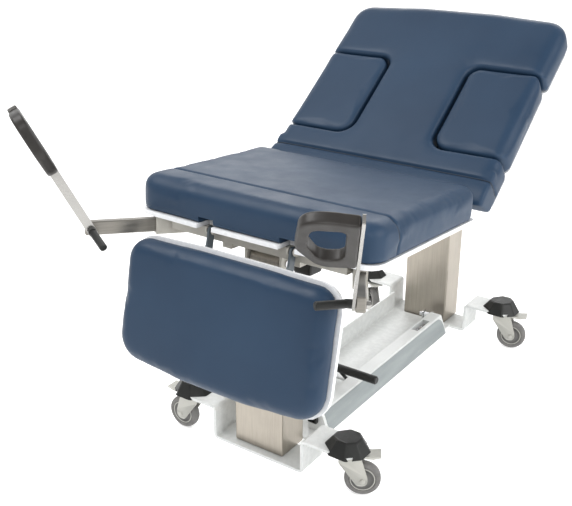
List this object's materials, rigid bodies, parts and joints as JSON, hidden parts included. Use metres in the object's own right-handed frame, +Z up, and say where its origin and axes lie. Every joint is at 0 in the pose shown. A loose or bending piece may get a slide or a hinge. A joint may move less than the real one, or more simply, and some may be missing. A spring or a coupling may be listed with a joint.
{
  "type": "medical exam table",
  "caption": "Height-adjustable exam table on casters: padded seat, raised backrest with drop-away side panels, hanging footrest and leg supports.",
  "frame": {"origin": "centre of the table's box at floor level", "axes": "+Z up, -Y towards the foot end, +X to the right as seen from the foot end"},
  "size_m": [1.0729, 1.6322, 1.1502],
  "materials": {
    "navy_vinyl": "navy vinyl upholstery, satin",
    "white_edging": "white edging, smooth",
    "white_paint": "off-white powder coat",
    "satin_steel": "satin stainless steel",
    "frame_paint": "dark grey-blue powder coat",
    "beige_paint": "light grey-beige powder coat",
    "label_grey": "printed strip, lettering left out",
    "black_plastic": "moulded, lightly textured",
    "black_pad": "soft grey-brown pad",
    "grey_plastic": "moulded light grey",
    "tyre_rubber": "grey non-marking rubber",
    "chrome": "polished plating"
  },
  "bodies": {
    "base": {"front_crossbeam": "white_paint", "rear_crossbeam": "white_paint", "base_tray": "white_paint", "side_beam": "white_paint", "label_strip": "label_grey", "mains_inlet": "black_plastic", "pedal_bracket": "white_paint", "brake_linkage": "chrome", "corner_cover_front_left": "black_plastic", "corner_cover_front_right": "black_plastic", "corner_cover_rear_left": "black_plastic", "corner_cover_rear_right": "black_plastic", "front_column_housing": "satin_steel", "rear_column_housing": "satin_steel"},
    "front_left_swivel": {"front_left_fork": "grey_plastic"},
    "front_left_pedal": {"front_left_brake_pedal": "grey_plastic"},
    "front_left_wheel": {"front_left_hub": "grey_plastic", "front_left_tyre": "tyre_rubber"},
    "front_right_swivel": {"front_right_fork": "grey_plastic"},
    "front_right_pedal": {"front_right_brake_pedal": "grey_plastic"},
    "front_right_wheel": {"front_right_hub": "grey_plastic", "front_right_tyre": "tyre_rubber"},
    "rear_left_swivel": {"rear_left_fork": "grey_plastic"},
    "rear_left_pedal": {"rear_left_brake_pedal": "grey_plastic"},
    "rear_left_wheel": {"rear_left_hub": "grey_plastic", "rear_left_tyre": "tyre_rubber"},
    "rear_right_swivel": {"rear_right_fork": "grey_plastic"},
    "rear_right_pedal": {"rear_right_brake_pedal": "grey_plastic"},
    "rear_right_wheel": {"rear_right_hub": "grey_plastic", "rear_right_tyre": "tyre_rubber"},
    "foot_bar": {"foot_bar": "black_plastic"},
    "front_stage": {"front_column_stage": "satin_steel"},
    "rear_middle": {"rear_column_middle_stage": "satin_steel"},
    "rear_inner": {"rear_column_inner_stage": "satin_steel", "rear_pivot_pin": "chrome"},
    "deck": {"deck_frame": "beige_paint", "front_pivot_pin": "chrome", "seat_board": "white_edging", "seat_cushion": "navy_vinyl", "actuator_body": "black_plastic"},
    "actuator_rod": {"actuator_rod": "chrome"},
    "backrest": {"back_frame": "beige_paint", "back_board": "white_edging", "back_cushion": "navy_vinyl"},
    "footrest": {"footrest_frame": "frame_paint", "footrest_board": "white_edging", "footrest_cushion": "navy_vinyl"},
    "side_panel_left": {"side_panel_board_left": "white_edging", "side_panel_cushion_left": "navy_vinyl"},
    "stirrup_arm_left": {"stirrup_arm_left": "satin_steel"},
    "stirrup_bar_left": {"stirrup_bar_left": "chrome", "stirrup_loop_left": "black_pad"},
    "stirrup_lever_left": {"stirrup_lever_left": "black_plastic"},
    "side_panel_right": {"side_panel_board_right": "white_edging", "side_panel_cushion_right": "navy_vinyl"},
    "stirrup_arm_right": {"stirrup_arm_right": "satin_steel"},
    "stirrup_bar_right": {"stirrup_bar_right": "chrome", "stirrup_loop_right": "black_pad"},
    "stirrup_lever_right": {"stirrup_lever_right": "black_plastic"}
  },
  "joints": [
    {"name": "lift", "type": "slide", "parent": "base", "child": "front_stage", "axis": [0, 0, 1], "range_m": [-0.06, 0.22]},
    {"name": "rear_lift", "type": "slide", "parent": "base", "child": "rear_middle", "axis": [0, 0, 1], "range_m": [-0.06, 0.22]},
    {"name": "rear_inner_slide", "type": "slide", "parent": "rear_middle", "child": "rear_inner", "axis": [0, 0, 1], "range_m": [-0.0358, 0.2143]},
    {"name": "tilt", "type": "hinge", "parent": "front_stage", "child": "deck", "pos_m": [-0.008, -0.33, 0.615], "axis": [1, 0, 0], "range_deg": [-2, 12]},
    {"name": "backrest", "type": "hinge", "parent": "deck", "child": "backrest", "pos_m": [-0.008, 0.24168, 0.65349], "axis": [1, 0, 0], "range_deg": [-41, 34]},
    {"name": "actuator_slide", "type": "slide", "parent": "deck", "child": "actuator_rod", "axis": [0, 0.9966, -0.0819], "range_m": [-0.0539, 0.0447]},
    {"name": "side_panel_left", "type": "hinge", "parent": "backrest", "child": "side_panel_left", "pos_m": [-0.1505, 0.24346, 0.65107], "axis": [0, -0.8059, -0.592], "range_deg": [0, 88]},
    {"name": "side_panel_right", "type": "hinge", "parent": "backrest", "child": "side_panel_right", "pos_m": [0.1345, 0.24346, 0.65107], "axis": [0, 0.8059, 0.592], "range_deg": [0, 88]},
    {"name": "footrest", "type": "hinge", "parent": "deck", "child": "footrest", "pos_m": [-0.008, -0.4195, 0.69801], "axis": [1, 0, 0], "range_deg": [-81, 8]},
    {"name": "stirrup_slide_left", "type": "slide", "parent": "deck", "child": "stirrup_arm_left", "axis": [-0.5736, -0.8164, 0.0671], "range_m": [-0.01, 0.04]},
    {"name": "stirrup_lean_left", "type": "hinge", "parent": "stirrup_arm_left", "child": "stirrup_bar_left", "pos_m": [-0.4255, -0.57223, 0.68107], "axis": [0.8192, -0.5717, 0.047], "range_deg": [-28, 46]},
    {"name": "stirrup_lever_left", "type": "hinge", "parent": "stirrup_bar_left", "child": "stirrup_lever_left", "pos_m": [-0.4255, -0.57223, 0.68107], "axis": [0.8192, -0.5717, 0.047], "range_deg": [-60, 60]},
    {"name": "stirrup_slide_right", "type": "slide", "parent": "deck", "child": "stirrup_arm_right", "axis": [0.515, -0.8543, 0.0702], "range_m": [-0.02, 0.05]},
    {"name": "stirrup_lean_right", "type": "hinge", "parent": "stirrup_arm_right", "child": "stirrup_bar_right", "pos_m": [0.3831, -0.55962, 0.68003], "axis": [0.8572, 0.5133, -0.0422], "range_deg": [-41, 33]},
    {"name": "stirrup_lever_right", "type": "hinge", "parent": "stirrup_bar_right", "child": "stirrup_lever_right", "pos_m": [0.3831, -0.55962, 0.68003], "axis": [0.8572, 0.5133, -0.0422], "range_deg": [-60, 60]},
    {"name": "foot_bar", "type": "hinge", "parent": "base", "child": "foot_bar", "pos_m": [-0.008, 0.03, 0.085], "axis": [1, 0, 0], "range_deg": [-8, 8]},
    {"name": "front_left_swivel", "type": "hinge", "parent": "base", "child": "front_left_swivel", "pos_m": [-0.278, -0.356, 0.1], "axis": [0, 0, 1], "continuous": true},
    {"name": "front_left_wheel", "type": "hinge", "parent": "front_left_swivel", "child": "front_left_wheel", "pos_m": [-0.318, -0.356, 0.05], "axis": [0, -1, 0], "continuous": true},
    {"name": "front_left_pedal", "type": "hinge", "parent": "front_left_swivel", "child": "front_left_pedal", "pos_m": [-0.3155, -0.356, 0.1247], "axis": [0, -1, 0], "range_deg": [0, 8]},
    {"name": "front_right_swivel", "type": "hinge", "parent": "base", "child": "front_right_swivel", "pos_m": [0.262, -0.356, 0.1], "axis": [0, 0, 1], "continuous": true},
    {"name": "front_right_wheel", "type": "hinge", "parent": "front_right_swivel", "child": "front_right_wheel", "pos_m": [0.29664, -0.336, 0.05], "axis": [-0.5, 0.866, 0], "continuous": true},
    {"name": "front_right_pedal", "type": "hinge", "parent": "front_right_swivel", "child": "front_right_pedal", "pos_m": [0.29448, -0.33725, 0.1247], "axis": [-0.5, 0.866, 0], "range_deg": [0, 8]},
    {"name": "rear_left_swivel", "type": "hinge", "parent": "base", "child": "rear_left_swivel", "pos_m": [-0.278, 0.684, 0.1], "axis": [0, 0, 1], "continuous": true},
    {"name": "rear_left_wheel", "type": "hinge", "parent": "rear_left_swivel", "child": "rear_left_wheel", "pos_m": [-0.24691, 0.65883, 0.05], "axis": [0.6293, 0.7771, 0], "continuous": true},
    {"name": "rear_left_pedal", "type": "hinge", "parent": "rear_left_swivel", "child": "rear_left_pedal", "pos_m": [-0.24886, 0.6604, 0.1247], "axis": [0.6293, 0.7771, 0], "range_deg": [0, 8]},
    {"name": "rear_right_swivel", "type": "hinge", "parent": "base", "child": "rear_right_swivel", "pos_m": [0.262, 0.684, 0.1], "axis": [0, 0, 1], "continuous": true},
    {"name": "rear_right_wheel", "type": "hinge", "parent": "rear_right_swivel", "child": "rear_right_wheel", "pos_m": [0.30064, 0.69435, 0.05], "axis": [-0.2588, 0.9659, 0], "continuous": true},
    {"name": "rear_right_pedal", "type": "hinge", "parent": "rear_right_swivel", "child": "rear_right_pedal", "pos_m": [0.29822, 0.69371, 0.1247], "axis": [-0.2588, 0.9659, 0], "range_deg": [0, 8]}
  ],
  "couplings": [
    {"joint": "rear_lift", "follows": "lift", "ratio": 1},
    {"joint": "rear_inner_slide", "follows": "tilt", "m_per_rad": 1.0231},
    {"joint": "actuator_slide", "follows": "backrest", "m_per_rad": 0.0752}
  ]
}
